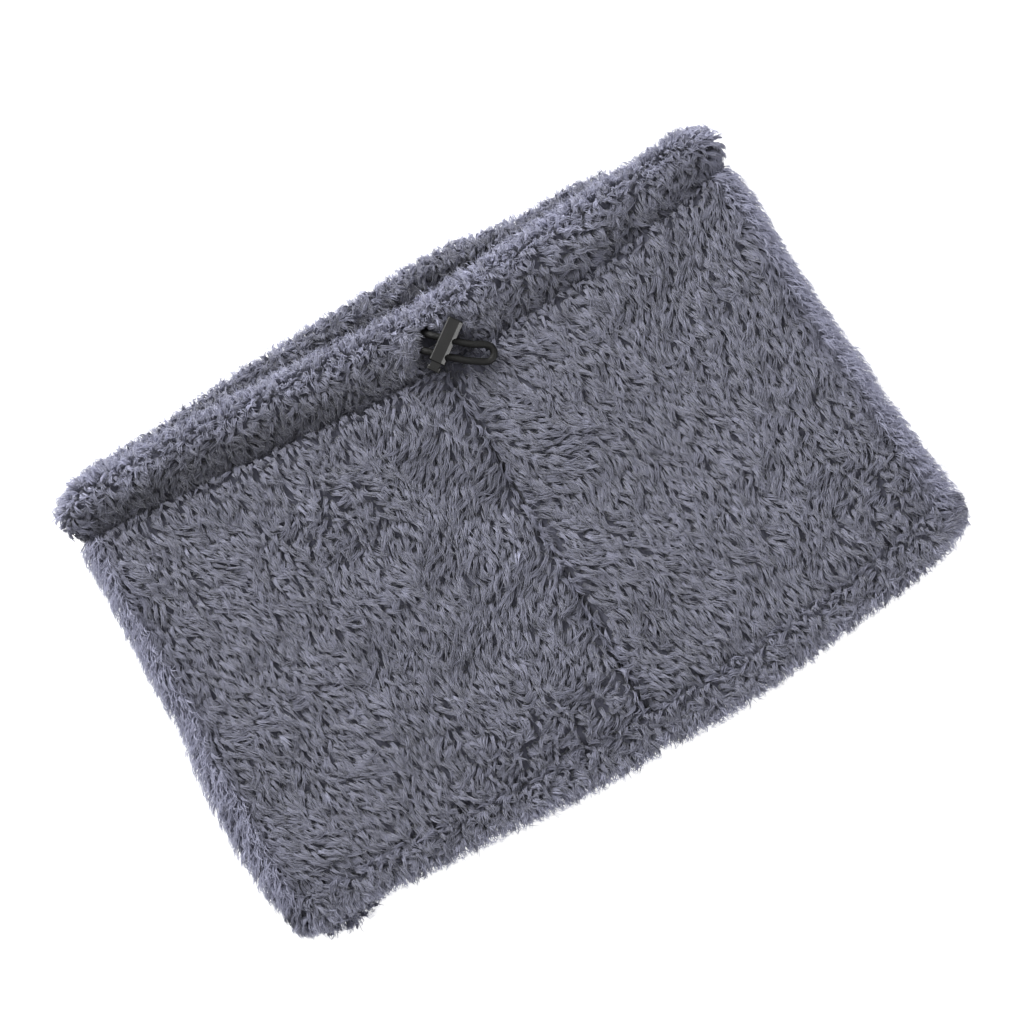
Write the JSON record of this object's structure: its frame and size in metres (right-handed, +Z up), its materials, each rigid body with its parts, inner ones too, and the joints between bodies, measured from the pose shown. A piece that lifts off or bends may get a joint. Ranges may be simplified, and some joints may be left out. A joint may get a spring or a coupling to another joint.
{
  "type": "neck gaiter",
  "caption": "Boa-fleece neck gaiter lying flat: an open tube with an elastic drawcord in its top casing and a spring-loaded cord lock on the cord's loop.",
  "frame": {"origin": "centre of the gaiter's underside as it lies flat on its back", "axes": "+X across the gaiter's width, +Y up to the drawcord casing, +Z up from the surface, towards the front seam and the cord lock"},
  "size_m": [0.2734, 0.1852, 0.0349],
  "materials": {
    "fleece": "long curly boa pile, matt",
    "thread": "matt polyester thread",
    "elastic_cord": "braided sleeve over an elastic core",
    "lock_plastic": "moulded, satin",
    "spring_steel": "drawn wire"
  },
  "bodies": {
    "gaiter": {"fleece_body": "fleece", "drawcord_casing": "fleece", "bottom_hem": "fleece", "seam_allowance_left": "fleece", "seam_allowance_right": "fleece", "front_seam_thread": "thread", "casing_thread": "thread", "hem_thread": "thread", "opening_tack_upper": "thread", "opening_tack_lower": "thread", "cord_anchor_tack": "thread", "drawcord_left": "elastic_cord", "drawcord_right": "elastic_cord", "drawcord_loop": "elastic_cord"},
    "cord_lock": {"lock_housing": "lock_plastic", "lock_spring": "spring_steel"},
    "lock_button": {"lock_plunger": "lock_plastic"}
  },
  "joints": [
    {"name": "lock_slide", "type": "slide", "parent": "gaiter", "child": "cord_lock", "axis": [0.7071, -0.7071, 0], "range_m": [-0.001, 0.004]},
    {"name": "button_press", "type": "slide", "parent": "cord_lock", "child": "lock_button", "axis": [0.8281, 0.5606, 0], "range_m": [0, 0.0014], "stiffness_N_per_m": 400, "deforming": ["lock_spring"]}
  ]
}
